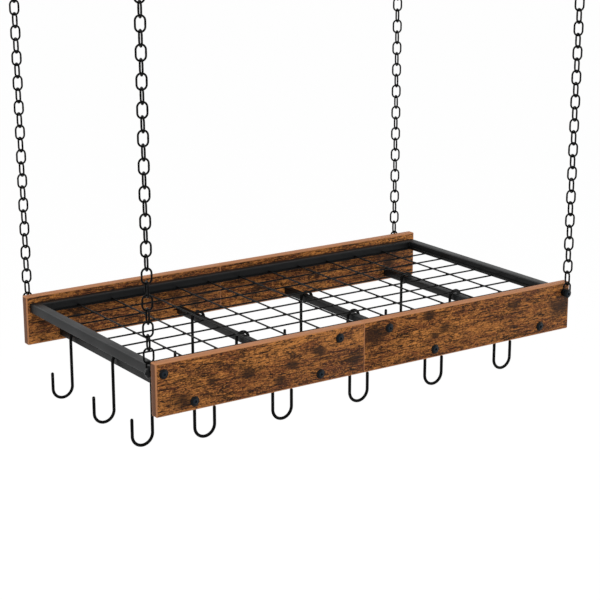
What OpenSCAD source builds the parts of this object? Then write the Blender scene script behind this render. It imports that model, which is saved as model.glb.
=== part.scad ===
// Hanging pot rack. Two wooden boards stand on edge at the front and back of a square-tube
// frame with a wire shelf. Four hook bars and a front rail under the shelf carry pot hooks,
// and four chains hang the rack from screw hooks in the ceiling.
// All modules draw in rack coordinates: X from the boards' left end, Y from the front
// board's outer face, Z from the boards' lower edge. placed() moves them so that the
// origin is on the ceiling, over the middle of the rack.

/* [Boards] */
// Length of the rack, equal to the length of the boards
board_l = 800; // [760:10:900]
// Height of the boards
board_h = 82; // [80:1:100]
// Thickness of the boards
board_t = 15; // [12:1:20]
// Distance of the joint between the two lengths of board from the left end
seam_x = 371; // [350:1:400]
// Chamfer along the long edges of the boards
board_chamfer = 1.5; // [0.5:0.1:2]
// Overall depth, between the outer faces of the boards
rack_d = 440; // [400:10:480]

/* [Frame and shelf] */
// Width and height of the frame's square tube
tube = 16; // [14:1:18]
// Wall thickness of the square tubes
tube_wall = 1.5; // [1:0.1:2]
// Height of the frame's underside over the boards' lower edge
frame_z = 55; // [54:1:60]
// Distance from the boards' ends to the frame's ends
frame_inset = 6; // [5.5:0.5:6.5]
// Diameter of the shelf wires
shelf_wire = 2.7; // [2:0.1:3]
// Number of shelf wires that run from front to back
cross_wires = 13; // [9:1:17]
// Number of shelf wires that run from end to end
long_wires = 9; // [5:1:11]

/* [Hook bars] */
// Width and height of the hook bars and the front rail
bar = 12; // [11:0.5:12]
// Height of the hook bars' underside over the boards' lower edge
bar_z = 8; // [7:0.5:8]
// Distance from the left end to the first hook bar
bar_first_x = 64; // [60:1:70]
// Distance from one hook bar to the next
bar_pitch = 224; // [210:1:230]
// Number of hook bars
bars = 4; // [4:1:4]
// Distance from the boards' ends to the front rail's ends
rail_inset = 40; // [30:1:45]

/* [Pot hooks] */
// Wire diameter of the pot hooks
hook_wire = 5; // [4:0.1:5.1]
// Radius of the loop over the bar, to the middle of the wire
hook_loop_r = 11.5; // [11.4:0.1:11.8]
// Radius of the open lower bend, to the middle of the wire
hook_bend_r = 17.5; // [15:0.5:18]
// Depth from the bar's middle to the middle of the wire at the lower bend
hook_drop = 96; // [80:1:110]
// Height of the hook's tip over the middle of the wire at the lower bend
hook_tip_h = 46; // [30:1:46]
// Length of the straight leg behind the bar
hook_leg = 7; // [5:1:10]

/* [Bolts] */
// Thread diameter of the bolts
bolt_d = 6; // [5:0.5:6]
// Diameter of the round bolt heads
head_d = 15; // [12:0.5:15.5]
// Height of the round bolt heads
head_h = 3.4; // [3:0.1:4]
// Height of the upper row of bolts over the boards' lower edge
upper_bolt_z = 65; // [63:0.5:65]
// Distance from the boards' ends to the corner bolts
corner_bolt_x = 13; // [12:0.5:14]

/* [Chains] */
// Wire diameter of the chain links
link_wire = 3; // [2.6:0.1:3]
// Outer length of a chain link
link_l = 25.9; // [24.4:0.5:27.4]
// Outer width of a chain link
link_w = 17.6; // [16.8:0.1:17.8]
// Number of links in each chain, an odd number
links = 29; // [21:2:41]
// Distance from the boards to the middle of the chains that hang on them
chain_off = 7.7; // [7.6:0.1:8]
// Height of the bolt in the frame's left end that carries the front left chain
side_bolt_z = 61; // [60.5:0.5:62]

/* [Ceiling hooks] */
// Wire diameter of the ceiling hooks
ceiling_wire = 5; // [4:0.1:6]
// Radius of the ceiling hooks' round bend, to the middle of the wire
ceiling_bend_r = 9; // [8:0.5:10]
// Length of the screw shank inside the ceiling
screw_l = 35; // [25:1:45]
// Distance from the ceiling to the wire under the links of the three board chains
ceiling_drop = 38; // [36:1:60]

/* [Hidden] */
$fn = 48;

BOARD = "#8a5a2b";
STEEL = "#1d1e22";

// Boards and frame
back_y = rack_d - board_t;
frame_l = board_l - 2 * frame_inset;
bar_mid_z = bar_z + bar / 2;
rail_mid_z = bar_mid_z + bar;
rail_y = 72;
plug_l = 20;
bolt_hole_play = 0.2;
// Gap between the end of a lower bolt and the end of its plug
plug_end_gap = 2;
// Upper bolts beside the joint between the boards, as distances from it
seam_bolts = [-47, 48.5];
back_right_chain_x = board_l - 30;
// How far the upper bolts reach past the boards, through the frame tube's wall
thread_end = 1.9;
upper_reach = tube_wall + thread_end;
socket_w = 4;
socket_depth = 2;
head_rim = 0.8;
spacer_d = 12.5;

// Pot hooks
corner_gap = 0.25;
loop_reach = hook_loop_r - hook_wire / 2 - corner_gap;
// Height of the loop's centre over the bar's middle, where the loop rests on two corners
loop_z = bar / 2 - sqrt(loop_reach * loop_reach - bar * bar / 4);
front_hook_y = 108;
middle_hook_y = 223;
back_hook_y = 364;
first_bar_middle_y = 231;
first_bar_back_y = 375;
rail_hook_x = [99, 240, 387.5, 540.5, 690];

// Chains. A chain's place is [x, y, height of its bolt, turn of its end links about Z,
// play between the bolt and its end link, twist of the links between the end links]
link_play = 0.1;
side_bolt_play = 0.4;
link_pitch = link_l - 2 * link_wire - link_play;
link_half = (link_l - link_wire) / 2;
side_link_gap = 0.6;
spacer_gap = 0.5;
head_gap = 0.6;
side_head_gap = 0.3;
front_left = [frame_inset - side_link_gap - link_wire / 2, 26, side_bolt_z, 90,
              side_bolt_play, -14];
front_right = [board_l - corner_bolt_x, -chain_off, upper_bolt_z, 0, link_play, -18];
back_left = [corner_bolt_x, rack_d + chain_off, upper_bolt_z, 0, link_play, 0];
back_right = [back_right_chain_x, rack_d + chain_off, upper_bolt_z, 0, link_play,
              -20];

// Height of the middle of link k of a chain, counted up from the bolt
function link_z(place, k) =
    place[2] - bolt_d / 2 - place[4] - link_wire / 2 + link_half + link_pitch * k;
// Height of the middle of the ceiling hook's wire where the top link hangs on it
function perch_z(place) =
    link_z(place, links - 1) + link_half - link_wire / 2 - link_play - ceiling_wire / 2;

ceiling_z = perch_z(front_right) + ceiling_drop;
neck_r = 6;
ceiling_arc = 280;
collar_d = 14;
collar_h = 2.5;

// Moves rack coordinates so that the origin is on the ceiling over the rack's middle
module placed() {
    translate([-board_l / 2, -rack_d / 2, -ceiling_z]) children();
}

// Part of a round-wire ring of radius r in the XZ plane, from the X axis through angle
module wire_arc(r, wire, angle) {
    rotate([90, 0, 0])
        rotate_extrude(angle = angle)
            translate([r, 0])
                circle(d = wire);
}

// ---- boards ----

// Square-cornered board section with chamfered long edges, from x0 to x1
module board(x0, x1, y0) {
    c = board_chamfer;
    translate([x0, y0, 0])
        rotate([90, 0, 90])
            linear_extrude(x1 - x0)
                polygon([
                    [c, 0], [board_t - c, 0], [board_t, c], [board_t, board_h - c],
                    [board_t - c, board_h], [c, board_h], [0, board_h - c], [0, c]
                ]);
}

module board_hole(x, z, y0) {
    translate([x, y0 + board_t + 1, z])
        rotate([90, 0, 0])
            cylinder(d = bolt_d + bolt_hole_play, h = board_t + 2);
}

// One length of board with the holes for its bolts
module drilled_board(x0, x1, y0, upper_xs) {
    color(BOARD)
        difference() {
            board(x0, x1, y0);
            for (i = [0 : bars - 1])
                if (bar_x(i) > x0 && bar_x(i) < x1)
                    board_hole(bar_x(i), bar_mid_z, y0);
            for (x = upper_xs)
                board_hole(x, upper_bolt_z, y0);
        }
}

function bar_x(i) = bar_first_x + bar_pitch * i;

module front_board_left() {
    placed() drilled_board(0, seam_x, 0, [corner_bolt_x, seam_x + seam_bolts[0]]);
}

module front_board_right() {
    placed() drilled_board(seam_x, board_l, 0, [seam_x + seam_bolts[1], board_l - corner_bolt_x]);
}

module back_board_left() {
    placed() drilled_board(0, seam_x, back_y, [corner_bolt_x, seam_x + seam_bolts[0]]);
}

module back_board_right() {
    placed() drilled_board(seam_x, board_l, back_y, [seam_x + seam_bolts[1], back_right_chain_x]);
}

// ---- frame ----

// Long frame tube against the front board, with mitred ends
module long_tube() {
    translate([frame_inset, board_t, frame_z])
        difference() {
            linear_extrude(tube)
                polygon([[0, 0], [frame_l, 0], [frame_l - tube, tube], [tube, tube]]);
            translate([-1, tube_wall, tube_wall])
                cube([frame_l + 2, tube - 2 * tube_wall, tube - 2 * tube_wall]);
        }
}

// End tube at the left, with mitred ends
module end_tube() {
    frame_d = back_y - board_t;
    translate([frame_inset, board_t, frame_z])
        difference() {
            linear_extrude(tube)
                polygon([[0, 0], [tube, tube], [tube, frame_d - tube], [0, frame_d]]);
            translate([tube_wall, -1, tube_wall])
                cube([tube - 2 * tube_wall, frame_d + 2, tube - 2 * tube_wall]);
        }
}

// Holes for the upper bolts through one wall of a frame tube, starting from plane y
module upper_tube_holes(xs, y) {
    for (x = xs)
        translate([x, y + upper_reach, upper_bolt_z])
            rotate([90, 0, 0])
                cylinder(d = bolt_d, h = 2 * upper_reach);
}

module frame_front_tube() {
    color(STEEL)
        placed()
            difference() {
                long_tube();
                upper_tube_holes([corner_bolt_x, seam_x + seam_bolts[0], seam_x + seam_bolts[1],
                                  board_l - corner_bolt_x], board_t);
            }
}

module frame_back_tube() {
    color(STEEL)
        placed()
            difference() {
                translate([0, rack_d, 0]) mirror([0, 1, 0]) long_tube();
                upper_tube_holes([corner_bolt_x, seam_x + seam_bolts[0], seam_x + seam_bolts[1],
                                  back_right_chain_x], back_y);
            }
}

module frame_left_tube() {
    color(STEEL)
        placed()
            difference() {
                end_tube();
                translate([frame_inset - 1, front_left[1], side_bolt_z])
                    rotate([0, 90, 0])
                        cylinder(d = bolt_d, h = tube_wall + 2);
            }
}

module frame_right_tube() {
    color(STEEL)
        placed()
            translate([board_l, 0, 0])
                mirror([1, 0, 0])
                    end_tube();
}

// ---- wire shelf ----

shelf_x0 = frame_inset + tube;
shelf_y0 = board_t + tube;
shelf_l = board_l - 2 * shelf_x0;
shelf_d = rack_d - 2 * shelf_y0;
// Height of the lower wires' middle over the frame's underside
long_wire_rise = 2.5;
long_wire_z = frame_z + long_wire_rise;
wire_gap = 0.02;

module shelf_long_wires() {
    pitch = (shelf_d - shelf_wire) / (long_wires - 1);
    color(STEEL)
        placed()
            for (i = [0 : long_wires - 1])
                translate([shelf_x0, shelf_y0 + shelf_wire / 2 + pitch * i, long_wire_z])
                    rotate([0, 90, 0])
                        cylinder(d = shelf_wire, h = shelf_l);
}

module shelf_cross_wires() {
    pitch = (shelf_l - shelf_wire) / (cross_wires - 1);
    color(STEEL)
        placed()
            for (i = [0 : cross_wires - 1])
                translate([shelf_x0 + shelf_wire / 2 + pitch * i, shelf_y0,
                           long_wire_z + shelf_wire + wire_gap])
                    rotate([-90, 0, 0])
                        cylinder(d = shelf_wire, h = shelf_d);
}

// ---- hook bars and front rail ----

// Square tube along Y from the origin, centred on X and Z
module bar_tube(length) {
    inner = bar - 2 * tube_wall;
    translate([0, length / 2, 0])
        difference() {
            cube([bar, length, bar], center = true);
            cube([inner, length + 2, inner], center = true);
        }
}

module hook_bar(i) {
    color(STEEL)
        placed()
            translate([bar_x(i), board_t, bar_mid_z])
                bar_tube(back_y - board_t);
}

module front_rail() {
    color(STEEL)
        placed()
            translate([rail_inset, rail_y, rail_mid_z])
                rotate([0, 0, -90])
                    bar_tube(board_l - 2 * rail_inset);
}

// Threaded plugs in both ends of each hook bar
module bar_plugs() {
    side = bar - 2 * tube_wall;
    color(STEEL)
        placed()
            for (i = [0 : bars - 1], y = [board_t + plug_l / 2, back_y - plug_l / 2])
                translate([bar_x(i), y, bar_mid_z])
                    difference() {
                        cube([side, plug_l, side], center = true);
                        rotate([90, 0, 0])
                            cylinder(d = bolt_d, h = plug_l + 2, center = true);
                    }
}

// ---- bolts ----

// Round-headed socket bolt along Z, its head over the XY plane and its shank below
module bolt(reach) {
    dome_rise = head_h - head_rim;
    dome_r = (head_d * head_d / 4 + dome_rise * dome_rise) / (2 * dome_rise);
    difference() {
        intersection() {
            cylinder(d = head_d, h = head_h);
            translate([0, 0, head_h - dome_r]) sphere(dome_r);
        }
        translate([0, 0, head_h - socket_depth])
            cylinder(d = socket_w / cos(30), h = socket_depth + 1, $fn = 6);
    }
    translate([0, 0, -reach]) cylinder(d = bolt_d, h = reach + head_rim / 2);
}

// Bolt through the front board at [x, z], its head standing off the board
module front_bolt(x, z, stand, reach) {
    translate([x, -stand, z]) rotate([90, 0, 0]) bolt(stand + reach);
}

module back_bolt(x, z, stand, reach) {
    translate([0, rack_d, 0]) mirror([0, 1, 0]) front_bolt(x, z, stand, reach);
}

module lower_bolts() {
    reach = board_t + plug_l - plug_end_gap;
    color(STEEL)
        placed()
            for (i = [0 : bars - 1]) {
                front_bolt(bar_x(i), bar_mid_z, 0, reach);
                back_bolt(bar_x(i), bar_mid_z, 0, reach);
            }
}

// Upper bolts that carry no chain
module upper_bolts() {
    reach = board_t + upper_reach;
    color(STEEL)
        placed() {
            front_bolt(corner_bolt_x, upper_bolt_z, 0, reach);
            for (s = seam_bolts) {
                front_bolt(seam_x + s, upper_bolt_z, 0, reach);
                back_bolt(seam_x + s, upper_bolt_z, 0, reach);
            }
        }
}

// Bolts whose heads stand off the boards, so that a chain's end link hangs behind them
head_stand = chain_off + link_wire / 2 + head_gap;
side_head_stand = 2 * side_link_gap + link_wire + side_head_gap;

module chain_bolts() {
    reach = board_t + upper_reach;
    color(STEEL)
        placed() {
            front_bolt(front_right[0], upper_bolt_z, head_stand, reach);
            back_bolt(back_left[0], upper_bolt_z, head_stand, reach);
            back_bolt(back_right[0], upper_bolt_z, head_stand, reach);
            translate([frame_inset - side_head_stand, front_left[1], side_bolt_z])
                rotate([0, -90, 0])
                    bolt(side_head_stand + upper_reach);
        }
}

// Spacer tubes between the boards and the chains' end links
module chain_spacers() {
    spacer_l = chain_off - link_wire / 2 - spacer_gap;
    color(STEEL)
        placed()
            for (place = [front_right, back_left, back_right])
                translate([place[0], place[1] < 0 ? -spacer_l / 2 : rack_d + spacer_l / 2, place[2]])
                    rotate([90, 0, 0])
                        difference() {
                            cylinder(d = spacer_d, h = spacer_l, center = true);
                            cylinder(d = bolt_d + bolt_hole_play, h = spacer_l + 2, center = true);
                        }
}

// ---- pot hooks ----

// Hook with its shank on the Z axis and the middle of its bar level with the origin. The
// loop goes over a bar on the side that turn points to, the lower bend opens towards -X.
module pot_hook_shape(turn) {
    bend_z = hook_bend_r - hook_drop;
    color(STEEL) {
        rotate([0, 0, turn]) {
            translate([hook_loop_r, 0, loop_z]) wire_arc(hook_loop_r, hook_wire, 180);
            translate([2 * hook_loop_r, 0, loop_z - hook_leg]) cylinder(d = hook_wire, h = hook_leg);
            translate([2 * hook_loop_r, 0, loop_z - hook_leg]) sphere(d = hook_wire);
        }
        translate([0, 0, bend_z]) cylinder(d = hook_wire, h = loop_z - bend_z);
        translate([-hook_bend_r, 0, bend_z]) mirror([0, 0, 1]) wire_arc(hook_bend_r, hook_wire, 180);
        translate([-2 * hook_bend_r, 0, bend_z])
            cylinder(d = hook_wire, h = hook_tip_h - hook_bend_r - hook_wire / 2);
        translate([-2 * hook_bend_r, 0, hook_tip_h - hook_drop - hook_wire / 2])
            sphere(d = hook_wire);
    }
}

// Hook on hook bar i at depth y
module bar_hook(i, y) {
    placed()
        translate([bar_x(i) - hook_loop_r, y, bar_mid_z])
            pot_hook_shape(0);
}

// Hook on the front rail, with its shank in front of the rail and its bend opening to +X
module rail_hook(i) {
    placed()
        translate([rail_hook_x[i], rail_y - hook_loop_r, rail_mid_z])
            mirror([1, 0, 0])
                pot_hook_shape(90);
}

// ---- chains and ceiling hooks ----

// Oval link in the XZ plane, centred on the origin
module chain_link() {
    bend_r = (link_w - link_wire) / 2;
    straight = link_l - link_w;
    for (side = [0, 1])
        mirror([0, 0, side])
            translate([0, 0, straight / 2])
                wire_arc(bend_r, link_wire, 180);
    for (x = [-bend_r, bend_r])
        translate([x, 0, -straight / 2]) cylinder(d = link_wire, h = straight);
}

// The end links stay square to their bolt and ceiling hook, the links between are twisted
function link_twist(place, k) = k == 0 || k == links - 1 ? 0 : place[5];

// Links first to last of the chain at a place, counted up from its bolt
module chain_run(place, first, last) {
    color(STEEL)
        placed()
            for (k = [first : last])
                translate([place[0], place[1], link_z(place, k)])
                    rotate([0, 0, place[3] + 90 * (k % 2) + link_twist(place, k)])
                        chain_link();
}

// Screw hook over a chain: a shank from the ceiling, a neck that brings the round bend
// under it, and a collar against the ceiling
module ceiling_hook(place) {
    bend_z = perch_z(place) + ceiling_bend_r;
    neck_z = bend_z + ceiling_bend_r + neck_r;
    tip_angle = ceiling_arc - 270;
    color(STEEL)
        placed()
            translate([place[0], place[1], 0])
                rotate([0, 0, place[3] + 90]) {
                    translate([0, 0, bend_z])
                        rotate([0, -90, 0])
                            wire_arc(ceiling_bend_r, ceiling_wire, ceiling_arc);
                    translate([ceiling_bend_r * cos(tip_angle), 0,
                               bend_z + ceiling_bend_r * sin(tip_angle)])
                        sphere(d = ceiling_wire);
                    translate([0, 0, neck_z])
                        rotate([0, 90, 0])
                            wire_arc(neck_r, ceiling_wire, 90);
                    translate([neck_r, 0, neck_z])
                        cylinder(d = ceiling_wire, h = ceiling_z + screw_l - neck_z);
                    translate([neck_r, 0, ceiling_z - collar_h])
                        cylinder(d = collar_d, h = collar_h);
                }
}

front_board_left();
front_board_right();
back_board_left();
back_board_right();
frame_front_tube();
frame_back_tube();
frame_left_tube();
frame_right_tube();
shelf_long_wires();
shelf_cross_wires();
hook_bar(0);  // hook_bar_1
hook_bar(1);  // hook_bar_2
hook_bar(2);  // hook_bar_3
hook_bar(3);  // hook_bar_4
front_rail();
bar_plugs();
lower_bolts();
upper_bolts();
chain_bolts();
chain_spacers();
bar_hook(0, front_hook_y);  // pot_hook_1_front
bar_hook(0, first_bar_middle_y);  // pot_hook_1_middle
bar_hook(0, first_bar_back_y);  // pot_hook_1_back
bar_hook(1, middle_hook_y);  // pot_hook_2_middle
bar_hook(1, back_hook_y);  // pot_hook_2_back
bar_hook(2, middle_hook_y);  // pot_hook_3_middle
bar_hook(2, back_hook_y);  // pot_hook_3_back
bar_hook(3, middle_hook_y);  // pot_hook_4_middle
bar_hook(3, back_hook_y);  // pot_hook_4_back
rail_hook(0);  // rail_hook_1
rail_hook(1);  // rail_hook_2
rail_hook(2);  // rail_hook_3
rail_hook(3);  // rail_hook_4
rail_hook(4);  // rail_hook_5
ceiling_hook(front_left);  // front_left_ceiling_hook
chain_run(front_left, links - 1, links - 1);  // front_left_top_link
chain_run(front_left, 1, links - 2);  // front_left_chain
chain_run(front_left, 0, 0);  // front_left_end_link
ceiling_hook(front_right);  // front_right_ceiling_hook
chain_run(front_right, links - 1, links - 1);  // front_right_top_link
chain_run(front_right, 1, links - 2);  // front_right_chain
chain_run(front_right, 0, 0);  // front_right_end_link
ceiling_hook(back_left);  // back_left_ceiling_hook
chain_run(back_left, links - 1, links - 1);  // back_left_top_link
chain_run(back_left, 1, links - 2);  // back_left_chain
chain_run(back_left, 0, 0);  // back_left_end_link
ceiling_hook(back_right);  // back_right_ceiling_hook
chain_run(back_right, links - 1, links - 1);  // back_right_top_link
chain_run(back_right, 1, links - 2);  // back_right_chain
chain_run(back_right, 0, 0);  // back_right_end_link
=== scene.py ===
"""A hanging pot rack: rustic boards on a black steel frame with a wire shelf, hook bars with
pot hooks, and four chains up to screw hooks. Lengths are in metres, except where a name or a
comment says millimetres. The rack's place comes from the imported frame, where the ceiling is at
z = 0."""

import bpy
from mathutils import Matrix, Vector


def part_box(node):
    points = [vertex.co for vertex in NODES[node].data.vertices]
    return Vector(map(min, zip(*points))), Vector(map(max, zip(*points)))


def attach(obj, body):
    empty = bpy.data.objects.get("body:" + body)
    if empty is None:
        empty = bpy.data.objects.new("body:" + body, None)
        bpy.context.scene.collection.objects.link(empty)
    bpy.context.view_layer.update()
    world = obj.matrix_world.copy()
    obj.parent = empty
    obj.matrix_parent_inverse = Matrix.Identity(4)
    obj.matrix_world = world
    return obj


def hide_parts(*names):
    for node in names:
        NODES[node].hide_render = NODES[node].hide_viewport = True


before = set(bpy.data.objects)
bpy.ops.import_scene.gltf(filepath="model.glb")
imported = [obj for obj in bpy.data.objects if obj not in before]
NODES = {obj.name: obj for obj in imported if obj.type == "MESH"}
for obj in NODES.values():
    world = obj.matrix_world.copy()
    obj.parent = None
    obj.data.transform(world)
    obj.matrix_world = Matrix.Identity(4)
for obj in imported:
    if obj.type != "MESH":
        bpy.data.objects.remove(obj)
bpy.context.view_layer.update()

import math

import bpy
from bpy.props import FloatProperty, FloatVectorProperty, IntProperty, PointerProperty
from mathutils import Matrix, Vector

bl_info = {
    "name": "Hanging pot rack",
    "version": (1, 0, 0),
    "blender": (4, 5, 0),
    "location": "View3D > Sidebar > Pot rack",
    "description": "Builds the boards, welds, threads and finishes of a hanging pot rack",
    "category": "Add Mesh",
}

MM = 0.001
STRAIGHT = 0.99  # cosine from which an edge or a normal counts as lying along an axis
RACK = "rack"
BOARDS = ("front_board_left", "front_board_right", "back_board_left", "back_board_right")
FRAME_TUBES = ("frame_front_tube", "frame_back_tube", "frame_left_tube", "frame_right_tube")
HOOK_BARS = ("hook_bar_1", "hook_bar_2", "hook_bar_3", "hook_bar_4")
CORNERS = ("front_left", "front_right", "back_left", "back_right")
SHELF_ROWS = 9  # wires from end to end
SHELF_COLUMNS = 13  # wires from front to back
LINKS = 29  # links in each chain, with its end link and its top link


def linear(hex_colour):
    """Linear RGB of an sRGB colour such as #8a5a2b."""
    channels = [int(hex_colour[i:i + 2], 16) / 255 for i in (1, 3, 5)]
    return tuple(c / 12.92 if c <= 0.04045 else ((c + 0.055) / 1.055) ** 2.4 for c in channels)


def colour(name, hex_colour, description):
    """A colour setting that starts at an sRGB hex value."""
    return FloatVectorProperty(name=name, description=description, subtype="COLOR", size=3,
                               min=0, max=1, default=linear(hex_colour))


def length(name, millimetres, description):
    """A length setting that starts at a size in millimetres."""
    return FloatProperty(name=name, description=description, default=millimetres * MM,
                         min=0, unit="LENGTH", subtype="DISTANCE", precision=5)


class BoardSettings(bpy.types.PropertyGroup):
    edge_radius: length("Edge radius", 2, "Rounding of the boards' arrises")
    seam_radius: length("Seam radius", 0.8, "Rounding where two lengths of board meet")
    print_light: colour("Light print", "#cf8745", "Lightest brown of the printed wood")
    print_mid: colour("Middle print", "#7a4626", "Middle brown of the printed wood")
    print_red: colour("Red print", "#613424", "Reddish brown of the printed wood")
    print_dark: colour("Dark print", "#23160e", "Clouds, knots and smudges of the printed wood")
    print_crack: colour("Crack print", "#1b0f09", "Cracks of the printed wood")
    band: colour("Edge band", "#a8704a", "Plain band that covers the boards' long edges")
    # Painted shade: the edge band made darker for the boards' ends, which face away from the
    # light
    end_band: colour("End band", "#6d4731", "Darker band on the boards' ends")
    # Painted highlight: the edge band made lighter on the rounded arrises, where they catch the
    # light
    arris: colour("Arris", "#b67d55", "Scraped band along the boards' arrises")


class SteelSettings(bpy.types.PropertyGroup):
    corner_radius: length("Tube corner radius", 1.8, "Outside corner radius of the square tubes")
    rail_wall: length("Rail wall", 1.5, "Wall thickness seen at the front rail's open ends")
    bead_radius: length("Weld bead radius", 1.1, "Radius of the weld beads in the corners")
    bead_ripples: IntProperty(name="Bead ripples", description="Ripples along a weld bead",
                              default=9, min=2, max=40)
    powder: colour("Powder coat", "#0a0b0c", "Colour of the powder coat")
    wire: colour("Dip coat", "#050505", "Colour of the dipped coat on hooks, chains and shelf")
    bolt: colour("Bolt finish", "#07090b", "Colour of the blackened bolts")
    # Painted highlight: the blue grey on the flat top of each bolt head stands in for a
    # reflection
    crown: colour("Bolt crown", "#1e262e", "Colour where the blackening is worn off the crown")


class ScrewSettings(bpy.types.PropertyGroup):
    pitch: length("Thread pitch", 2.5, "Distance between the turns of the ceiling screws")
    depth: length("Thread depth", 0.75, "Depth of the ceiling screws' thread")
    point: length("Point length", 6, "Length of the ceiling screws' tapered point")


class StageSettings(bpy.types.PropertyGroup):
    azimuth: FloatProperty(name="Camera azimuth", description="Turn of the camera about the rack",
                           default=math.radians(-34.291), subtype="ANGLE", unit="ROTATION")
    elevation: FloatProperty(name="Camera elevation", description="Height angle of the camera",
                             default=math.radians(15.889), subtype="ANGLE", unit="ROTATION")
    distance: length("Camera distance", 2804.5, "Distance from the camera to its aim")
    aim: FloatVectorProperty(name="Aim", description="The camera's aim from the boards' middle",
                             default=(3.1 * MM, 4.5 * MM, 19.2 * MM), size=3,
                             subtype="TRANSLATION", unit="LENGTH", precision=5)
    lens: FloatProperty(name="Lens", description="Focal length in millimetres for a 36 mm sensor",
                        default=100.94, min=10)
    floor_drop: length("Floor drop", 1500, "Distance from the boards down to the floor")
    key_power: FloatProperty(name="Key light", description="Power of the large front light",
                             default=70, min=0, unit="POWER")
    fill_power: FloatProperty(name="Fill light", description="Power of the light at the right",
                              default=25, min=0, unit="POWER")
    back_power: FloatProperty(name="Back light", description="Power of the light behind the rack",
                              default=40, min=0, unit="POWER")
    world_level: FloatProperty(name="World level", description="Strength of the even light",
                               default=0.42, min=0)


# ---- nodes and materials ----


def add_node(tree, kind, inputs=None, **settings):
    """Adds a shader node. inputs maps a socket's name or number to its value or its source."""
    made = tree.nodes.new(kind)
    for name, value in settings.items():
        setattr(made, name, value)
    for key, value in (inputs or {}).items():
        if isinstance(value, bpy.types.NodeSocket):
            tree.links.new(value, made.inputs[key])
        else:
            made.inputs[key].default_value = value
    return made


def new_material(name):
    """An empty node material and its tree."""
    material = bpy.data.materials.new(name)
    material.use_nodes = True
    material.node_tree.nodes.clear()
    return material, material.node_tree


def opaque(rgb, factor=1):
    """A colour with full alpha, made lighter or darker by a factor."""
    return (*(min(1, c * factor) for c in rgb), 1)


def powder_coated_steel(rgb):
    """Mild steel under black polyester powder coat. The cured powder leaves a fine orange peel,
    so a highlight is soft and slightly grainy."""
    peel_mm = 1.2  # the real peel of about 0.5 mm is drawn coarser, so that it shows
    peel_height_mm = 0.06
    patch_mm = 60
    material, tree = new_material("powder_coated_steel")
    place = add_node(tree, "ShaderNodeTexCoord").outputs["Object"]
    peel = add_node(tree, "ShaderNodeTexNoise",
                    {"Vector": place, "Scale": 1 / (peel_mm * MM), "Detail": 2.0})
    patches = add_node(tree, "ShaderNodeTexNoise",
                       {"Vector": place, "Scale": 1 / (patch_mm * MM), "Detail": 3.0})
    rough = add_node(tree, "ShaderNodeMapRange",
                     {"Value": patches.outputs["Fac"], "From Min": 0.3, "From Max": 0.7,
                      "To Min": 0.4, "To Max": 0.51})
    shade = add_node(tree, "ShaderNodeMix",
                     {0: peel.outputs["Fac"], 6: opaque(rgb, 0.82), 7: opaque(rgb, 1.18)},
                     data_type="RGBA")
    bump = add_node(tree, "ShaderNodeBump",
                    {"Height": peel.outputs["Fac"], "Strength": 0.35,
                     "Distance": peel_height_mm * MM})
    skin = add_node(tree, "ShaderNodeBsdfPrincipled",
                    {"Base Color": shade.outputs[2], "Roughness": rough.outputs["Result"],
                     "Specular IOR Level": 0.17, "Normal": bump.outputs["Normal"]})
    add_node(tree, "ShaderNodeOutputMaterial", {"Surface": skin.outputs["BSDF"]})
    return material


def dip_coated_wire(rgb):
    """Steel wire dipped in black paint. The paint flows smooth before it dries, so there is no
    peel, only a soft even sheen that is a little duller in places."""
    patch_mm = 25
    material, tree = new_material("dip_coated_wire")
    place = add_node(tree, "ShaderNodeTexCoord").outputs["Object"]
    patches = add_node(tree, "ShaderNodeTexNoise",
                       {"Vector": place, "Scale": 1 / (patch_mm * MM), "Detail": 3.0})
    rough = add_node(tree, "ShaderNodeMapRange",
                     {"Value": patches.outputs["Fac"], "From Min": 0.3, "From Max": 0.7,
                      "To Min": 0.36, "To Max": 0.5})
    shade = add_node(tree, "ShaderNodeMix",
                     {0: patches.outputs["Fac"], 6: opaque(rgb, 0.7), 7: opaque(rgb, 1.3)},
                     data_type="RGBA")
    skin = add_node(tree, "ShaderNodeBsdfPrincipled",
                    {"Base Color": shade.outputs[2], "Roughness": rough.outputs["Result"],
                     "Specular IOR Level": 0.06})
    add_node(tree, "ShaderNodeOutputMaterial", {"Surface": skin.outputs["BSDF"]})
    return material


def blackened_bolt_steel(rim, crown):
    """Hardened steel bolts with a blackened finish, smoother than the powder coat. The flat top
    of each head, where the normal points along the bolt, gets a painted highlight in blue grey
    for the reflection it catches, and the steep rim stays black."""
    mark_mm = 0.5
    # Where the painted highlight starts and where it is full
    highlight_from, highlight_full = 0.82, 0.94  # squares of the normal's part along the bolt
    material, tree = new_material("blackened_bolt_steel")
    place = add_node(tree, "ShaderNodeTexCoord").outputs
    marks = add_node(tree, "ShaderNodeTexNoise",
                     {"Vector": place["Object"], "Scale": 1 / (mark_mm * MM), "Detail": 2.0})
    rough = add_node(tree, "ShaderNodeMapRange",
                     {"Value": marks.outputs["Fac"], "To Min": 0.34, "To Max": 0.5})
    squared = add_node(tree, "ShaderNodeVectorMath",
                       {0: place["Normal"], 1: place["Normal"]}, operation="MULTIPLY")
    parts = add_node(tree, "ShaderNodeSeparateXYZ", {0: squared.outputs["Vector"]})
    highlight_amount = add_node(tree, "ShaderNodeMapRange",
                    {"Value": parts.outputs["Y"], "From Min": highlight_from,
                     "From Max": highlight_full}, interpolation_type="SMOOTHSTEP")
    shade = add_node(tree, "ShaderNodeMix",
                     {0: highlight_amount.outputs["Result"], 6: opaque(rim), 7: opaque(crown)},
                     data_type="RGBA")
    skin = add_node(tree, "ShaderNodeBsdfPrincipled",
                    {"Base Color": shade.outputs[2], "Metallic": 0.2,
                     "Roughness": rough.outputs["Result"], "Specular IOR Level": 0.12})
    add_node(tree, "ShaderNodeOutputMaterial", {"Surface": skin.outputs["BSDF"]})
    return material


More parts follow.
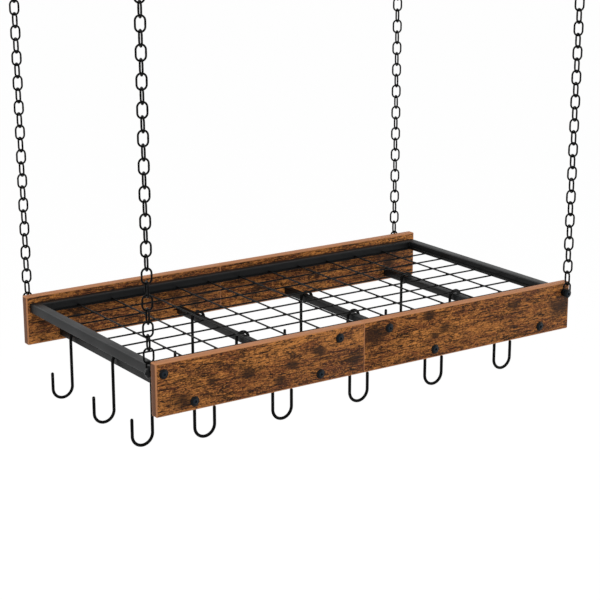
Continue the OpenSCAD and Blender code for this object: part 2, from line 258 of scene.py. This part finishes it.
# Layers of the printed film, painted in this order over the ground: what it is, its length and
# width in mm, the noise's detail, roughness and distortion, where it starts and is full, how
# strongly it covers, and its colour. Cracks of about 0.3 mm are drawn coarser, so that they show.
FILM_LAYERS = (
    ("light patches", 80, 26, 5, 0.6, 0.8, 0.44, 0.59, 0.85, "print_light"),
    ("red clouds", 110, 30, 5, 0.65, 0.8, 0.47, 0.6, 0.75, "print_red"),
    ("dark clouds", 70, 24, 7, 0.7, 1.0, 0.52, 0.64, 0.86, "print_dark"),
    ("light streaks", 40, 3.5, 7, 0.75, 0.5, 0.5, 0.62, 0.8, "print_light"),
    ("dark grain", 16, 2.2, 6, 0.75, 0.3, 0.5, 0.61, 0.7, "print_dark"),
    ("light grain", 12, 2.4, 6, 0.75, 0.3, 0.53, 0.64, 0.7, "print_light"),
    ("smudges", 20, 11, 6, 0.72, 0.8, 0.55, 0.63, 0.85, "print_dark"),
    ("light flecks", 3.6, 2.2, 3, 0.6, 0.2, 0.53, 0.63, 0.65, "print_light"),
    ("dark flecks", 4.4, 2.2, 3, 0.6, 0.2, 0.53, 0.63, 0.7, "print_dark"),
    ("long cracks", 26, 1.8, 5, 0.62, 0.4, 0.54, 0.6, 0.95, "print_crack"),
    ("short cracks", 8, 1.8, 4, 0.65, 0.3, 0.55, 0.62, 0.9, "print_crack"),
    ("saw marks", 1.8, 20, 3, 0.5, 0.0, 0.52, 0.7, 0.25, "print_dark"),
)


def printed_board(name, shift, knots, settings):
    """Particle board under a printed rustic-wood film: long brown streaks, dark clouds and
    smudges, cracks along the grain, saw marks across it and a few knots. The film is nearly
    matt, with a faint grain bump. knots lists (x, z, radius) in millimetres, and shift moves the
    print to another stretch, also in millimetres."""
    layer_step_mm = 170  # keeps two layers of like noise from lying on each other
    knot_stretch = 1.5  # knots are longer along the grain than across it
    knot_core, knot_edge = 0.35, 1.2  # as parts of the knot's radius
    knot_cover = 0.82
    ragged = 0.35  # how far streaks eat into a knot's edge, as a part of its radius
    crack_depth_mm = 0.15
    material, tree = new_material(name)
    place = add_node(tree, "ShaderNodeTexCoord").outputs["Object"]
    wood = None
    cover = {}
    for number, (what, along, across, detail, rough, bend, low, high, most, shade) in enumerate(
            FILM_LAYERS):
        scale = (1 / (along * MM), 1 / (across * MM), 1 / (across * MM))
        start = [(s + layer_step_mm * number) * MM * k for s, k in zip(shift, scale)]
        stretched = add_node(tree, "ShaderNodeMapping",
                             {"Vector": place, "Location": start, "Scale": scale}, label=what)
        noise = add_node(tree, "ShaderNodeTexNoise",
                         {"Vector": stretched.outputs["Vector"], "Scale": 1.0, "Detail": detail,
                          "Roughness": rough, "Distortion": bend})
        amount = add_node(tree, "ShaderNodeMapRange",
                          {"Value": noise.outputs["Fac"], "From Min": low, "From Max": high,
                           "To Max": most}, interpolation_type="SMOOTHSTEP")
        cover[what] = amount.outputs["Result"]
        under = wood or opaque(settings.print_mid)
        wood = add_node(tree, "ShaderNodeMix",
                        {0: cover[what], 6: under, 7: opaque(getattr(settings, shade))},
                        data_type="RGBA").outputs[2]
    for x, z, radius in knots:
        flat = add_node(tree, "ShaderNodeMapping",
                        {"Vector": place, "Location": (-x * MM / knot_stretch, 0.0, -z * MM),
                         "Scale": (1 / knot_stretch, 0.0, 1.0)})
        away = add_node(tree, "ShaderNodeVectorMath", {0: flat.outputs["Vector"]},
                        operation="LENGTH")
        reach = add_node(tree, "ShaderNodeMath",
                         {0: cover["light streaks"], 1: ragged * radius * MM,
                          2: away.outputs["Value"]}, operation="MULTIPLY_ADD")
        dark = add_node(tree, "ShaderNodeMapRange",
                        {"Value": reach.outputs["Value"], "From Min": knot_edge * radius * MM,
                         "From Max": knot_core * radius * MM, "To Max": knot_cover},
                        interpolation_type="SMOOTHSTEP")
        wood = add_node(tree, "ShaderNodeMix",
                        {0: dark.outputs["Result"], 6: wood, 7: opaque(settings.print_dark)},
                        data_type="RGBA").outputs[2]

    bump = add_node(tree, "ShaderNodeBump",
                    {"Height": cover["long cracks"], "Strength": 0.3,
                     "Distance": -crack_depth_mm * MM})
    sheen = add_node(tree, "ShaderNodeMapRange",
                     {"Value": cover["dark clouds"], "To Min": 0.5, "To Max": 0.68})
    skin = add_node(tree, "ShaderNodeBsdfPrincipled",
                    {"Base Color": wood, "Roughness": sheen.outputs["Result"],
                     "Specular IOR Level": 0.1, "Normal": bump.outputs["Normal"]})
    add_node(tree, "ShaderNodeOutputMaterial", {"Surface": skin.outputs["BSDF"]})
    return material


def edge_band(name, rgb):
    """Thin plastic edge band in a plain pinkish brown, ironed onto the board's edges. It is
    smoother than the printed film, with a faint streak along it. A darker copy paints shade on
    the boards' ends, and a lighter copy paints a highlight on their arrises."""
    streak_mm = (40, 1.2, 1.2)
    material, tree = new_material(name)
    place = add_node(tree, "ShaderNodeTexCoord").outputs["Object"]
    scaled = add_node(tree, "ShaderNodeMapping",
                      {"Vector": place, "Scale": [1 / (size * MM) for size in streak_mm]})
    streaks = add_node(tree, "ShaderNodeTexNoise",
                       {"Vector": scaled.outputs["Vector"], "Scale": 1.0, "Detail": 4.0})
    shade = add_node(tree, "ShaderNodeMix",
                     {0: streaks.outputs["Fac"], 6: opaque(rgb, 0.8), 7: opaque(rgb, 1.15)},
                     data_type="RGBA")
    skin = add_node(tree, "ShaderNodeBsdfPrincipled",
                    {"Base Color": shade.outputs[2], "Roughness": 0.5,
                     "Specular IOR Level": 0.12})
    add_node(tree, "ShaderNodeOutputMaterial", {"Surface": skin.outputs["BSDF"]})
    return material


def steel(name):
    """One of the steel finishes, made the first time it is asked for."""
    made = bpy.data.materials.get(name)
    if made:
        return made
    settings = bpy.context.scene.pot_rack_steel
    if name == "powder_coated_steel":
        return powder_coated_steel(settings.powder)
    if name == "dip_coated_wire":
        return dip_coated_wire(settings.wire)
    return blackened_bolt_steel(settings.bolt, settings.crown)


def coat(node_names, material):
    """Gives CAD nodes that keep their shape a finish."""
    for name in node_names:
        for place in NODES[name].material_slots:
            place.material = material


# ---- modelling helpers ----


def clear_selection():
    """Leaves edit mode, if need be, and deselects everything."""
    if bpy.context.mode != "OBJECT":
        bpy.ops.object.mode_set(mode="OBJECT")
    bpy.ops.object.select_all(action="DESELECT")


def middle(low, high):
    """The point halfway between two corners."""
    return (Vector(low) + Vector(high)) / 2


def box_primitive(name, low, high):
    """A cube primitive that fills a box, with its place in its mesh."""
    clear_selection()
    bpy.ops.mesh.primitive_cube_add(size=1, location=middle(low, high))
    made = bpy.context.object
    made.name = name
    made.scale = Vector(high) - Vector(low)
    bpy.ops.object.transform_apply(location=True, rotation=True, scale=True)
    return made


def edit(obj, vertices=(), edges=(), faces=()):
    """Enters edit mode on obj with only these vertices, edges or faces selected."""
    mesh = obj.data
    for group in (mesh.vertices, mesh.edges, mesh.polygons):
        group.foreach_set("select", [False] * len(group))
    for group, wanted in ((mesh.vertices, vertices), (mesh.edges, edges), (mesh.polygons, faces)):
        for index in wanted:
            group[index].select = True
    bpy.context.view_layer.objects.active = obj
    mode = (bool(vertices), bool(edges), bool(faces))
    bpy.context.tool_settings.mesh_select_mode = mode
    bpy.ops.object.mode_set(mode="EDIT")


def leave_edit():
    """Goes back to object mode."""
    bpy.ops.object.mode_set(mode="OBJECT")


def edges_along(mesh, axis):
    """The numbers of a mesh's edges that lie along an axis."""
    points = [v.co for v in mesh.vertices]
    return [e.index for e in mesh.edges
            if abs((points[e.vertices[1]] - points[e.vertices[0]]).normalized()[axis]) > STRAIGHT]


def finish_piece(obj, body, materials, angle=30):
    """Smooths a piece, gives it its finishes and lets it ride on its body."""
    clear_selection()
    obj.select_set(True)
    bpy.context.view_layer.objects.active = obj
    bpy.ops.object.transform_apply(location=True, rotation=True, scale=True)
    bpy.ops.object.shade_smooth_by_angle(angle=math.radians(angle))
    if len(obj.data.materials) == 0:
        for material in materials:
            obj.data.materials.append(material)
    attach(obj, body)
    return obj


def copies(model, name, places):
    """Copies of model at each matrix in places, joined into one piece. The model is removed."""
    clear_selection()
    made = []
    for place in places:
        twin = model.copy()
        twin.data = model.data.copy()
        twin.data.transform(place)
        bpy.context.scene.collection.objects.link(twin)
        twin.select_set(True)
        made.append(twin)
    bpy.context.view_layer.objects.active = made[0]
    bpy.ops.object.join()
    made[0].name = name
    bpy.data.objects.remove(model)
    return made[0]


def facing(direction, at):
    """A matrix that turns +Z to a direction and moves the origin to a point."""
    turn = Vector((0, 0, 1)).rotation_difference(Vector(direction)).to_matrix().to_4x4()
    return Matrix.Translation(at) @ turn


# ---- pieces ----


# How far the print moves on from one board to the next, in mm
PRINT_STEP = (311, 97, 53)
# Knots and smudges printed on each board, as (x, z, radius) in mm from the boards' left lower
# corner
BOARD_KNOTS = {
    "front_board_left": ((42, 18, 14), (94, 39, 8), (157, 38, 12), (214, 19, 9), (237, 38, 10),
                         (286, 50, 12), (352, 27, 13)),
    "front_board_right": ((391, 58, 21), (497, 72, 12), (512, 36, 7), (531, 46, 10),
                          (678, 60, 12), (778, 40, 22)),
    "back_board_left": ((90, 40, 9), (230, 60, 12), (318, 24, 11)),
    "back_board_right": ((450, 30, 11), (640, 52, 9), (742, 34, 13)),
}


class POTRACK_OT_boards(bpy.types.Operator):
    """Makes the four lengths of board with rounded arrises, a printed film and edge bands"""
    bl_idname = "pot_rack.boards"
    bl_label = "Boards"

    def execute(self, context):
        settings = context.scene.pot_rack_boards
        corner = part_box("front_board_left")[0]
        # The plain band, the band darkened as painted shade for the ends, and the band lightened
        # as a painted highlight for the arrises
        bands = (edge_band("ironed_edge_band", settings.band),
                 edge_band("ironed_end_band", settings.end_band),
                 edge_band("scraped_arris", settings.arris))
        for number, name in enumerate(BOARDS):
            low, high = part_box(name)
            board = box_primitive(name + "_faced", low, high)
            seam = high[0] if name.endswith("left") else low[0]
            near = 1.25 * settings.seam_radius
            for at_seam, radius, segments in ((True, settings.seam_radius, 2),
                                              (False, settings.edge_radius, 3)):
                points = [v.co for v in board.data.vertices]
                edit(board, edges=[e.index for e in board.data.edges if at_seam == all(
                    abs(points[i].x - seam) < near for i in e.vertices)])
                bpy.ops.mesh.bevel(offset=radius, segments=segments, affect="EDGES")
                leave_edit()
            knots = [(corner[0] / MM + x, corner[2] / MM + z, r) for x, z, r in BOARD_KNOTS[name]]
            film = printed_board("printed_" + name, [step * number for step in PRINT_STEP],
                                 knots, settings)
            for material in (film, *bands):
                board.data.materials.append(material)
            # The film is on the wide faces, the band on the long edges, its darker copy with
            # painted shade on the ends, and its lighter copy with a painted highlight on the
            # rounded arrises between them
            for face in board.data.polygons:
                flat = [abs(part) > STRAIGHT for part in face.normal]
                face.material_index = 0 if flat[1] else 1 if flat[2] else 2 if flat[0] else 3
            finish_piece(board, RACK, (), angle=40)
            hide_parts(name)
        return {"FINISHED"}


class POTRACK_OT_frame(bpy.types.Operator):
    """Makes the four mitred frame tubes with rounded corners"""
    bl_idname = "pot_rack.frame"
    bl_label = "Frame"

    def execute(self, context):
        settings = context.scene.pot_rack_steel
        skin = steel("powder_coated_steel")
        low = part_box("frame_front_tube")[0]
        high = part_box("frame_back_tube")[1]
        centre = middle(low, high)
        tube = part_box("frame_front_tube")[1][1] - low[1]
        for name in FRAME_TUBES:
            box_low, box_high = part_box(name)
            piece = box_primitive(name + "_rounded", box_low, box_high)
            along = 0 if name in ("frame_front_tube", "frame_back_tube") else 1
            across = 1 - along
            own = middle(box_low, box_high)
            inward = 1 if own[across] < centre[across] else -1
            for side in (-1, 1):
                tips = [v.index for v in piece.data.vertices
                        if (v.co[along] - centre[along]) * side > 0
                        and (v.co[across] - own[across]) * inward > 0]
                edit(piece, vertices=tips)
                move = [0, 0, 0]
                move[along] = -side * tube
                bpy.ops.transform.translate(value=move)
                leave_edit()
            edit(piece, edges=edges_along(piece.data, along))
            bpy.ops.mesh.bevel(offset=settings.corner_radius, segments=4, affect="EDGES")
            leave_edit()
            finish_piece(piece, RACK, (skin,))
            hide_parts(name)
        return {"FINISHED"}


def weld_bead(radius, bead_length, ripples):
    """A weld bead along Z from the origin, with a ripple for each turn of the torch."""
    end, neck = 0.6, 0.85  # widths at the ends and between ripples, as parts of the radius
    widths = [end, *(neck if ring % 2 else 1.0 for ring in range(2 * ripples - 1)), end]
    rise = bead_length / (2 * ripples)
    clear_selection()
    bpy.ops.mesh.primitive_circle_add(vertices=12, radius=radius * end, fill_type="NGON")
    bead = bpy.context.object
    bpy.ops.object.mode_set(mode="EDIT")
    for before, after in zip(widths, widths[1:]):
        bpy.ops.mesh.extrude_region_move(TRANSFORM_OT_translate={"value": (0, 0, rise)})
        bpy.ops.transform.resize(value=(after / before, after / before, 1))
    bpy.ops.mesh.select_all(action="SELECT")
    bpy.ops.mesh.normals_make_consistent(inside=False)
    leave_edit()
    return bead


class POTRACK_OT_welds(bpy.types.Operator):
    """Lays the weld beads in the frame's corners and where the front rail crosses the bars"""
    bl_idname = "pot_rack.welds"
    bl_label = "Weld beads"

    def execute(self, context):
        settings = context.scene.pot_rack_steel
        skin = steel("powder_coated_steel")
        # The shelf's long wires end at the frame's inner faces
        inner_low, inner_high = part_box("shelf_long_wires")
        tube_low, tube_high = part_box("frame_front_tube")
        proud = 0.4 * settings.bead_radius
        bead = weld_bead(settings.bead_radius,
                         tube_high[2] - tube_low[2] - settings.corner_radius,
                         settings.bead_ripples)
        corners = [Matrix.Translation((x, y, tube_low[2] + settings.corner_radius / 2))
                   for x in (inner_low[0] + proud, inner_high[0] - proud)
                   for y in (inner_low[1] + proud, inner_high[1] - proud)]
        welds = copies(bead, "frame_corner_welds", corners)
        finish_piece(welds, RACK, (skin,), angle=60)

        rail_low, rail_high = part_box("front_rail")
        bar_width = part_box("hook_bar_1")[1][0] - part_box("hook_bar_1")[0][0]
        bead = weld_bead(settings.bead_radius, bar_width, settings.bead_ripples)
        places = [facing((1, 0, 0), (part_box(name)[0][0], y, rail_low[2]))
                  for name in HOOK_BARS
                  for y in (rail_low[1] - proud, rail_high[1] + proud)]
        welds = copies(bead, "rail_welds", places)
        finish_piece(welds, RACK, (skin,), angle=60)
        return {"FINISHED"}


class POTRACK_OT_bars(bpy.types.Operator):
    """Makes the hook bars and the front rail from square tube with rounded corners"""
    bl_idname = "pot_rack.bars"
    bl_label = "Hook bars and rail"

    def execute(self, context):
        settings = context.scene.pot_rack_steel
        skin = steel("powder_coated_steel")
        radius = 0.8 * settings.corner_radius  # these tubes are thinner than the frame's
        for name in (*HOOK_BARS, "front_rail"):
            low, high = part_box(name)
            along = 0 if name == "front_rail" else 1
            piece = box_primitive(name + "_rounded", low, high)
            edit(piece, edges=edges_along(piece.data, along))
            bpy.ops.mesh.bevel(offset=radius, segments=4, affect="EDGES")
            leave_edit()
            if name == "front_rail":
                self.open_ends(piece, along, settings.rail_wall)
            finish_piece(piece, RACK, (skin,))
            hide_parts(name)
        return {"FINISHED"}

    @staticmethod
    def open_ends(piece, along, wall):
        """Hollows both ends of a tube, deep enough to look open from outside."""
        depth = 40 * MM
        for side in (-1, 1):
            ends = [f.index for f in piece.data.polygons if f.normal[along] * side > STRAIGHT]
            edit(piece, faces=ends)
            bpy.ops.mesh.inset(thickness=wall)
            move = [0, 0, 0]
            move[along] = -side * depth
            bpy.ops.mesh.extrude_region_move(TRANSFORM_OT_translate={"value": move})
            leave_edit()


class POTRACK_OT_shelf(bpy.types.Operator):
    """Finishes the shelf wires and adds the spot weld at each crossing"""
    bl_idname = "pot_rack.shelf"
    bl_label = "Wire shelf"

    def execute(self, context):
        skin = steel("dip_coated_wire")
        coat(("shelf_long_wires", "shelf_cross_wires"), skin)
        long_low, long_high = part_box("shelf_long_wires")
        cross_low, cross_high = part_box("shelf_cross_wires")
        wire = long_high[2] - long_low[2]
        pressed = (1.15, 1.15, 0.55)  # the electrodes press a spot wide and flat
        clear_selection()
        bpy.ops.mesh.primitive_cube_add(size=0.95 * wire)
        spot = bpy.context.object
        bpy.ops.object.mode_set(mode="EDIT")
        bpy.ops.mesh.subdivide(number_cuts=1, smoothness=1)
        bpy.ops.transform.resize(value=pressed)
        leave_edit()

        def spread(low, high, count):
            first, last = low + wire / 2, high - wire / 2
            return [first + (last - first) * i / (count - 1) for i in range(count)]

        seam = (long_high[2] + cross_low[2]) / 2
        places = [Matrix.Translation((x, y, seam))
                  for x in spread(cross_low[0], cross_high[0], SHELF_COLUMNS)
                  for y in spread(long_low[1], long_high[1], SHELF_ROWS)]
        spots = copies(spot, "shelf_spot_welds", places)
        finish_piece(spots, RACK, (skin,), angle=60)
        return {"FINISHED"}


class POTRACK_OT_bolts(bpy.types.Operator):
    """Finishes the bolts, spacers and the plugs in the hook bars"""
    bl_idname = "pot_rack.bolts"
    bl_label = "Bolts"

    def execute(self, context):
        coat(("lower_bolts", "upper_bolts", "chain_bolts", "chain_spacers", "bar_plugs"),
             steel("blackened_bolt_steel"))
        return {"FINISHED"}


class POTRACK_OT_pot_hooks(bpy.types.Operator):
    """Finishes the pot hooks on the bars and on the front rail"""
    bl_idname = "pot_rack.pot_hooks"
    bl_label = "Pot hooks"

    def execute(self, context):
        coat([n for n in NODES if n.startswith(("pot_hook", "rail_hook"))],
             steel("dip_coated_wire"))
        return {"FINISHED"}


# Turn about Z of the links between each chain's end links, in degrees
CHAIN_TWIST = {"front_left": -14, "front_right": -18, "back_left": 0, "back_right": -20}


class POTRACK_OT_chains(bpy.types.Operator):
    """Finishes the chains and adds each link's butt weld, which faces the rack's middle"""
    bl_idname = "pot_rack.chains"
    bl_label = "Chains"

    def execute(self, context):
        skin = steel("dip_coated_wire")
        for corner in CORNERS:
            low, high = (Vector(c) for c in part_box(f"{corner}_end_link"))
            wire = min(high - low)
            weld_radius, weld_length = 0.58 * wire, 1.3 * wire
            spots = self.weld_places(corner, low, high, wire, weld_length)
            for part, first, last in (("end_link", 0, 1), ("chain", 1, LINKS - 1),
                                      ("top_link", LINKS - 1, LINKS)):
                name = f"{corner}_{part}"
                coat((name,), skin)
                welds = copies(weld_bead(weld_radius, weld_length, ripples=2), name + "_welds",
                               spots[first:last])
                finish_piece(welds, name, (skin,), angle=60)
        return {"FINISHED"}

    @staticmethod
    def weld_places(corner, low, high, wire, weld_length):
        """A matrix for each link's weld, counted up from the end link, whose box is given."""
        size = high - low
        along_x = size.x > size.y
        reach = (max(size.x, size.y) - wire) / 2
        bottom = middle(low, high)
        top = middle(*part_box(f"{corner}_top_link"))
        places = []
        for number in range(LINKS):
            twist = CHAIN_TWIST[corner] if 0 < number < LINKS - 1 else 0
            turn = math.radians((0 if along_x else 90) + 90 * (number % 2) + twist)
            side = Vector((math.cos(turn), math.sin(turn), 0)) * reach
            centre = bottom.lerp(top, number / (LINKS - 1))
            if side.dot(Vector((centre.x, centre.y, 0))) > 0:
                side = -side
            places.append(Matrix.Translation(centre + side - Vector((0, 0, weld_length / 2))))
        return places


def turn_outwards(obj):
    """Points the faces of a closed shell outwards, which its volume's sign tells."""
    corners = [v.co for v in obj.data.vertices]
    obj.data.calc_loop_triangles()
    volume = sum(corners[t.vertices[0]].dot(corners[t.vertices[1]].cross(corners[t.vertices[2]]))
                 for t in obj.data.loop_triangles)
    if volume < 0:
        edit(obj, faces=range(len(obj.data.polygons)))
        bpy.ops.mesh.flip_normals()
        leave_edit()


def threaded_shank(radius, shank_length, settings):
    """A wood-screw thread along Z from the origin, tapered to a point at its end."""
    crest, foot = 0.42, 0.62  # heights of the tooth's crest and upper foot, in pitches
    facets = 20
    blunt = 0.08  # width left at the point, as a part of the shank's
    root = radius - settings.depth
    tooth = ((root, 0), (radius, crest), (root, foot))
    clear_selection()
    bpy.ops.mesh.primitive_circle_add(vertices=3, radius=radius, fill_type="NOTHING")
    shank = bpy.context.object
    for vertex, (out, rise) in zip(shank.data.vertices, tooth):
        vertex.co = (out, 0, rise * settings.pitch)
    edit(shank, edges=[e.index for e in shank.data.edges if set(e.vertices) == {0, 2}])
    bpy.ops.mesh.delete(type="EDGE_FACE")
    leave_edit()
    edit(shank, vertices=[2])
    bpy.ops.mesh.extrude_region_move(
        TRANSFORM_OT_translate={"value": (0, 0, (1 - foot) * settings.pitch)})
    leave_edit()
    screw = shank.modifiers.new("thread", "SCREW")
    screw.axis = "Z"
    screw.screw_offset = settings.pitch
    screw.iterations = int(shank_length / settings.pitch)
    screw.steps = screw.render_steps = facets
    bpy.ops.object.modifier_apply(modifier=screw.name)
    bpy.ops.object.mode_set(mode="EDIT")
    bpy.ops.mesh.select_all(action="SELECT")
    bpy.ops.mesh.remove_doubles(threshold=0.02 * MM)
    bpy.ops.mesh.fill_holes(sides=0)
    leave_edit()
    # Only the two end caps have more than four corners
    edit(shank, faces=[f.index for f in shank.data.polygons if len(f.vertices) > 4])
    bpy.ops.mesh.poke()
    leave_edit()
    stretch = shank_length / max(v.co.z for v in shank.data.vertices)
    for vertex in shank.data.vertices:
        vertex.co.z *= stretch
        over = (vertex.co.z - shank_length + settings.point) / settings.point
        if over > 0:
            narrow = max(blunt, 1 - over)
            vertex.co.x *= narrow
            vertex.co.y *= narrow
    turn_outwards(shank)
    return shank


class POTRACK_OT_ceiling_hooks(bpy.types.Operator):
    """Gives the ceiling hooks a wood-screw thread over the ceiling"""
    bl_idname = "pot_rack.ceiling_hooks"
    bl_label = "Ceiling hooks"

    def execute(self, context):
        settings = context.scene.pot_rack_screws
        skin = steel("dip_coated_wire")
        clear_of_collar = 5 * MM  # height from which only the screw's shank is left
        cut_height = 0.05 * MM  # just over the ceiling
        hidden = 0.9 * settings.pitch  # the thread's ragged lower end, inside the collar
        for corner in CORNERS:
            name = f"{corner}_ceiling_hook"
            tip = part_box(name)[1][2]
            hook = NODES[name].copy()
            hook.data = NODES[name].data.copy()
            bpy.context.scene.collection.objects.link(hook)
            hook.parent = None
            above = [v.co for v in hook.data.vertices if v.co.z > clear_of_collar]
            low = Vector([min(c[i] for c in above) for i in range(3)])
            high = Vector([max(c[i] for c in above) for i in range(3)])
            clear_selection()
            hook.select_set(True)
            bpy.context.view_layer.objects.active = hook
            bpy.ops.object.mode_set(mode="EDIT")
            bpy.ops.mesh.select_all(action="SELECT")
            bpy.ops.mesh.remove_doubles(threshold=0.001 * MM)
            bpy.ops.mesh.bisect(plane_co=(0, 0, cut_height), plane_no=(0, 0, 1),
                                clear_outer=True, use_fill=True)
            leave_edit()
            hook.name = name + "_threaded"
            hook.data.materials.clear()
            shank = threaded_shank((high.x - low.x) / 2, tip + hidden, settings)
            centre = middle(low, high)
            shank.data.transform(Matrix.Translation((centre.x, centre.y, -hidden)))
            clear_selection()
            shank.select_set(True)
            hook.select_set(True)
            bpy.context.view_layer.objects.active = hook
            bpy.ops.object.join()
            finish_piece(hook, "ceiling_hooks", (skin,))
            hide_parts(name)
        return {"FINISHED"}


# ---- stage ----


def aimed(obj, place, target):
    """Puts a camera or lamp at a place and turns it to a target."""
    obj.location = place
    obj.rotation_euler = (Vector(target) - Vector(place)).to_track_quat("-Z", "Y").to_euler()


def seen_directly(tree):
    """1 for camera, glossy and transmission rays, so that all three see the backdrop."""
    path = add_node(tree, "ShaderNodeLightPath").outputs
    either = add_node(tree, "ShaderNodeMath",
                      {0: path["Is Camera Ray"], 1: path["Is Glossy Ray"]}, operation="MAXIMUM")
    return add_node(tree, "ShaderNodeMath",
                    {0: either.outputs["Value"], 1: path["Is Transmission Ray"]},
                    operation="MAXIMUM").outputs["Value"]


class POTRACK_OT_stage(bpy.types.Operator):
    """Sets the camera, the soft lights, the pale floor and the white surroundings"""
    bl_idname = "pot_rack.stage"
    bl_label = "Stage"

    def execute(self, context):
        settings = context.scene.pot_rack_stage
        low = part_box("front_board_left")[0]
        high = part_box("back_board_right")[1]
        rack = middle(low, high)
        self.add_camera(context, settings, rack)
        self.add_lights(settings, rack)
        self.add_floor(settings, rack, low[2] - settings.floor_drop)
        self.light_world(context, settings)
        context.scene.view_settings.view_transform = "Standard"
        return {"FINISHED"}

    @staticmethod
    def add_camera(context, settings, rack):
        """Sets the camera where the photograph's was."""
        sensor_mm = 36
        aim = rack + Vector(settings.aim)
        turn, rise = settings.azimuth, settings.elevation
        back = Vector((math.sin(turn) * math.cos(rise), -math.cos(turn) * math.cos(rise),
                       math.sin(rise)))
        bpy.ops.object.camera_add()
        camera = context.object
        camera.name = "photo_camera"
        camera.data.lens = settings.lens
        camera.data.sensor_width = sensor_mm
        aimed(camera, aim + back * settings.distance, aim)
        context.scene.camera = camera

    @staticmethod
    def add_lights(settings, rack):
        """Adds the soft lamps, each with its width and its place from the rack's middle."""
        for name, power, width, offset in (
                ("key_light", settings.key_power, 2.4, (-1.4, -1.9, 2.6)),
                ("fill_light", settings.fill_power, 2.0, (2.6, -1.2, 0.8)),
                ("back_light", settings.back_power, 2.4, (-1.2, 2.9, 1.6))):
            bpy.ops.object.light_add(type="AREA")
            lamp = bpy.context.object
            lamp.name = name
            lamp.data.energy = power
            lamp.data.size = width
            aimed(lamp, rack + Vector(offset), rack)

    @staticmethod
    def add_floor(settings, rack, height):
        """Lays the matt studio floor, which looks white and keeps the rack's faint shadow."""
        floor_width = 120
        whiteness = 0.94  # the floor's own white, to which the dim share adds what light falls
        material, tree = new_material("pale_floor")
        matt = add_node(tree, "ShaderNodeBsdfDiffuse", {"Color": opaque(linear("#f4f4f4"))})
        white = add_node(tree, "ShaderNodeEmission", {"Strength": whiteness})
        dim = add_node(tree, "ShaderNodeBsdfDiffuse", {"Color": opaque(linear("#616161"))})
        glow = add_node(tree, "ShaderNodeAddShader",
                        {0: white.outputs["Emission"], 1: dim.outputs["BSDF"]})
        mixed = add_node(tree, "ShaderNodeMixShader",
                         {0: seen_directly(tree), 1: matt.outputs["BSDF"],
                          2: glow.outputs["Shader"]})
        add_node(tree, "ShaderNodeOutputMaterial", {"Surface": mixed.outputs["Shader"]})
        clear_selection()
        bpy.ops.mesh.primitive_plane_add(size=floor_width, location=(rack[0], rack[1], height))
        floor = bpy.context.object
        floor.name = "floor"
        floor.data.materials.append(material)

    @staticmethod
    def light_world(context, settings):
        """Lights the rack evenly from all round, in front of white surroundings."""
        world = bpy.data.worlds.new("studio")
        context.scene.world = world
        world.use_nodes = True
        tree = world.node_tree
        tree.nodes.clear()
        colour_of_light = opaque(linear("#ffffff"))
        even = add_node(tree, "ShaderNodeBackground",
                        {"Color": colour_of_light, "Strength": settings.world_level})
        white = add_node(tree, "ShaderNodeBackground",
                         {"Color": colour_of_light, "Strength": 1.0})
        mixed = add_node(tree, "ShaderNodeMixShader",
                         {0: seen_directly(tree), 1: even.outputs["Background"],
                          2: white.outputs["Background"]})
        add_node(tree, "ShaderNodeOutputWorld", {"Surface": mixed.outputs["Shader"]})


OPERATORS = (POTRACK_OT_boards, POTRACK_OT_frame, POTRACK_OT_bars, POTRACK_OT_welds,
             POTRACK_OT_shelf, POTRACK_OT_bolts, POTRACK_OT_pot_hooks, POTRACK_OT_chains,
             POTRACK_OT_ceiling_hooks, POTRACK_OT_stage)
SETTINGS = {"pot_rack_boards": BoardSettings, "pot_rack_steel": SteelSettings,
            "pot_rack_screws": ScrewSettings, "pot_rack_stage": StageSettings}


class POTRACK_PT_panel(bpy.types.Panel):
    """Lists the operators that build the rack"""
    bl_idname = "POTRACK_PT_panel"
    bl_label = "Pot rack"
    bl_space_type = "VIEW_3D"
    bl_region_type = "UI"
    bl_category = "Pot rack"

    def draw(self, context):
        for operator in OPERATORS:
            self.layout.operator(operator.bl_idname)


def register():
    for group in (*SETTINGS.values(), *OPERATORS, POTRACK_PT_panel):
        bpy.utils.register_class(group)
    for name, group in SETTINGS.items():
        setattr(bpy.types.Scene, name, PointerProperty(type=group))


def unregister():
    for name in SETTINGS:
        delattr(bpy.types.Scene, name)
    for group in reversed((*SETTINGS.values(), *OPERATORS, POTRACK_PT_panel)):
        bpy.utils.unregister_class(group)


def main():
    """Builds the rack and its stage."""
    register()
    for operator in OPERATORS:
        family, call = operator.bl_idname.split(".")
        getattr(getattr(bpy.ops, family), call)()
    clear_selection()


if __name__ == "__main__":
    main()
